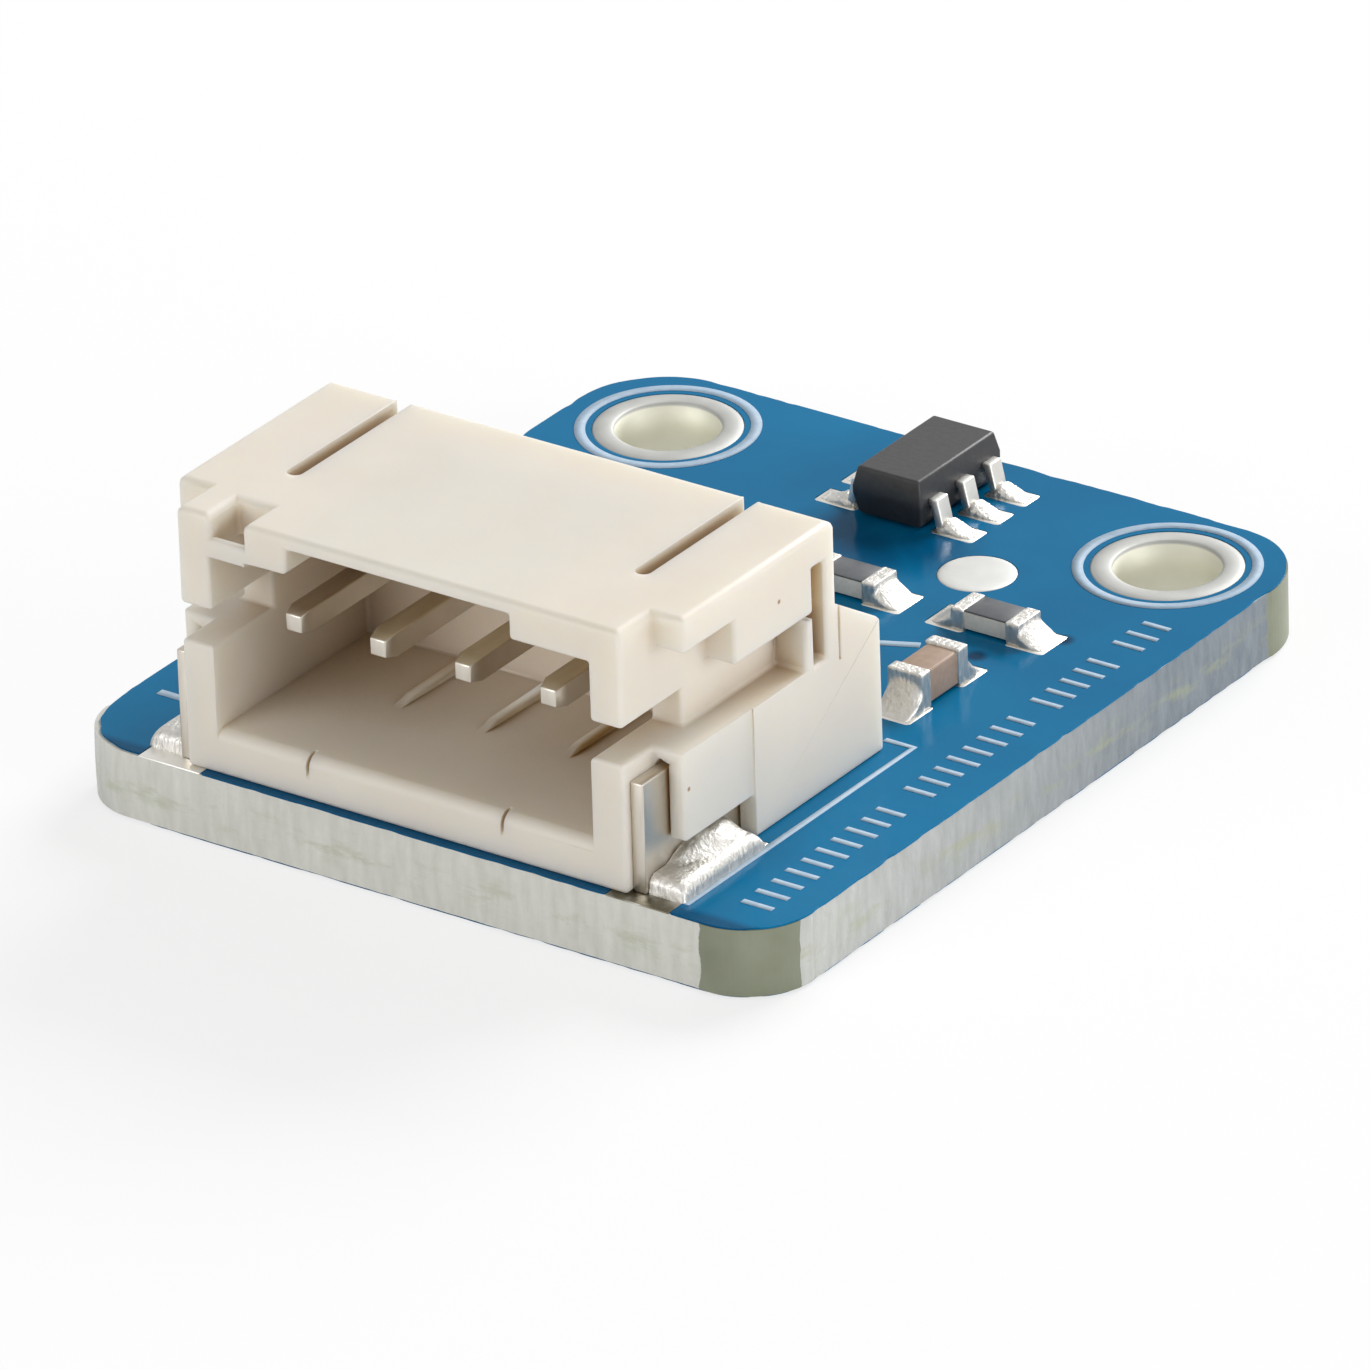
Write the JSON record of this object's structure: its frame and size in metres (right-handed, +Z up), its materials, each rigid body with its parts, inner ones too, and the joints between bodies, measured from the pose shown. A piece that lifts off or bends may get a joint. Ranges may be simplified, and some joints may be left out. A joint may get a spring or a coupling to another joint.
{
  "type": "hall effect sensor module",
  "caption": "Small circuit board module with a side-entry wire-to-board header, a surface-mount magnetic field sensor, chip parts and plated screw holes.",
  "frame": {"origin": "middle of the board's underside", "axes": "+Z up through the board, +Y from the header towards the screw holes, +X to the right seen from the header"},
  "size_m": [0.0166, 0.0196, 0.0071],
  "materials": {
    "fr4_laminate": "sawn glass-filled epoxy edge",
    "solder_mask": "semi-gloss blue mask",
    "tinned_copper": "soft bright tin",
    "moulded_nylon": "natural ivory moulding",
    "plated_contact": "tin-plated stamping",
    "solder": "bright solder",
    "mould_compound": "black mould compound",
    "alumina_ceramic": "white ceramic",
    "dark_overcoat": "dark glassy coat",
    "capacitor_ceramic": "tan fired ceramic"
  },
  "bodies": {
    "root": {"board_laminate": "fr4_laminate", "top_solder_mask": "solder_mask", "bottom_solder_mask": "solder_mask", "hole_plating_left": "tinned_copper", "hole_plating_right": "tinned_copper", "hold_down_pad_left": "tinned_copper", "hold_down_pad_right": "tinned_copper", "contact_pads": "tinned_copper", "sensor_pads": "tinned_copper", "resistor_a_pads": "tinned_copper", "resistor_b_pads": "tinned_copper", "capacitor_pads": "tinned_copper", "test_pad": "tinned_copper", "header_housing": "moulded_nylon", "contact_pin_1": "plated_contact", "contact_pin_2": "plated_contact", "contact_pin_3": "plated_contact", "contact_pin_4": "plated_contact", "hold_down_tab_left": "plated_contact", "hold_down_tab_right": "plated_contact", "tab_solder_left": "solder", "tab_solder_right": "solder", "contact_solder": "solder", "sensor_body": "mould_compound", "sensor_lead_1": "tinned_copper", "sensor_lead_2": "tinned_copper", "sensor_lead_3": "tinned_copper", "sensor_lead_4": "tinned_copper", "sensor_lead_5": "tinned_copper", "sensor_lead_6": "tinned_copper", "sensor_solder": "solder", "resistor_a_body": "alumina_ceramic", "resistor_a_overcoat": "dark_overcoat", "resistor_a_cap_left": "tinned_copper", "resistor_a_cap_right": "tinned_copper", "resistor_a_solder": "solder", "resistor_b_body": "alumina_ceramic", "resistor_b_overcoat": "dark_overcoat", "resistor_b_cap_left": "tinned_copper", "resistor_b_cap_right": "tinned_copper", "resistor_b_solder": "solder", "capacitor_body": "capacitor_ceramic", "capacitor_cap_front": "tinned_copper", "capacitor_cap_rear": "tinned_copper", "capacitor_solder": "solder"}
  },
  "joints": []
}
